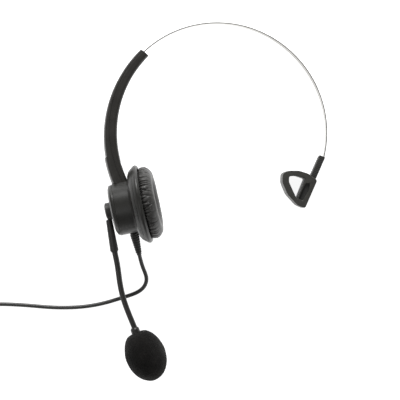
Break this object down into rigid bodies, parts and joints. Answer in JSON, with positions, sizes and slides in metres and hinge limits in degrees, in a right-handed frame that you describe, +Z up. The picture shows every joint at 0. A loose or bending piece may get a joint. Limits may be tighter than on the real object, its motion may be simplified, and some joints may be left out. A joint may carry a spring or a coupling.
{
  "type": "office headset",
  "caption": "Single-ear office headset with a padded ear cup, thin steel headband, rubber temple pad, gooseneck microphone boom and coiled cord.",
  "frame": {"origin": "on the table under the middle of the headset, its cord left out", "axes": "+X from the ear cup to the temple pad, +Y from the microphone to the crown, +Z up from the table it lies on"},
  "size_m": [0.2835, 0.2514, 0.055],
  "materials": {
    "satin_black_plastic": "satin moulded ABS",
    "matte_black_plastic": "fine matt moulded ABS",
    "leatherette": "soft pleated leatherette",
    "open_foam": "open-cell foam",
    "cloth": "thin woven cloth",
    "rubber": "soft matt rubber",
    "cord_jacket": "smooth matt cord jacket",
    "gooseneck_sleeve": "satin sleeve",
    "spring_steel": "bright rolled strip",
    "plated_steel": "zinc plated",
    "magnet": "sintered",
    "copper": "enamelled wire",
    "film": "thin clear film",
    "circuit_board": "solder mask",
    "acetal": "natural acetal",
    "plug_metal": "gold flashed"
  },
  "bodies": {
    "ear_cup": {"rear_housing": "satin_black_plastic", "outer_cap": "satin_black_plastic", "speaker_plate": "satin_black_plastic", "speaker_grille": "matte_black_plastic", "grille_cloth": "cloth", "housing_screws": "plated_steel", "speaker_basket": "matte_black_plastic", "speaker_magnet": "magnet", "speaker_pole": "plated_steel", "speaker_diaphragm": "film", "voice_coil": "copper", "cushion_cover": "leatherette", "cushion_foam": "open_foam", "cushion_ring": "matte_black_plastic", "swivel_bush": "acetal", "terminal_board": "circuit_board", "cable_clamp": "matte_black_plastic", "cable_strain_relief": "rubber", "boom_pivot_screw": "plated_steel", "boom_wave_washer": "plated_steel", "cord_lead": "cord_jacket", "cord_coil": "cord_jacket", "coil_tie": "matte_black_plastic", "plug_strain_relief": "rubber", "plug_body": "satin_black_plastic", "plug_jack": "plug_metal", "plug_insulators": "matte_black_plastic"},
    "arm": {"arm_inner_shell": "matte_black_plastic", "arm_outer_shell": "matte_black_plastic", "arm_lower_cover": "matte_black_plastic", "arm_screws": "plated_steel", "detent_spring": "spring_steel", "swivel_stud": "plated_steel", "swivel_clip": "plated_steel"},
    "band": {"headband_strip": "spring_steel", "strip_stop": "matte_black_plastic", "pad_stem": "matte_black_plastic", "stem_rivets": "plated_steel", "temple_pad": "rubber"},
    "boom": {"boom_holder": "satin_black_plastic", "boom_pivot_cap": "satin_black_plastic", "boom_ferrule": "plated_steel", "gooseneck_lower": "gooseneck_sleeve"},
    "microphone": {"gooseneck_upper": "gooseneck_sleeve", "mic_collar": "matte_black_plastic", "mic_housing": "matte_black_plastic", "mic_grommet": "rubber", "mic_capsule": "plated_steel", "mic_grille": "matte_black_plastic", "foam_windscreen": "open_foam"}
  },
  "joints": [
    {"name": "band_swivel", "type": "hinge", "parent": "ear_cup", "child": "arm", "pos_m": [-0.0637, -0.0049, 0.02679], "axis": [0.2118, -0.9748, 0.0702], "range_deg": [-22, 6]},
    {"name": "band_size_slide", "type": "hinge", "parent": "arm", "child": "band", "pos_m": [0.0025, 0.049, 0.01431], "axis": [0.1091, 0.095, 0.9895], "range_deg": [-16, 18]},
    {"name": "boom_rotation", "type": "hinge", "parent": "ear_cup", "child": "boom", "pos_m": [-0.07483, -0.00727, 0.02619], "axis": [-0.9768, -0.2076, -0.0523], "range_deg": [-8, 250]},
    {"name": "gooseneck_bend", "type": "hinge", "parent": "boom", "child": "microphone", "pos_m": [-0.0647, -0.06427, 0.0193], "axis": [-0.0267, -0.1246, 0.9919], "range_deg": [-30, 30]}
  ]
}
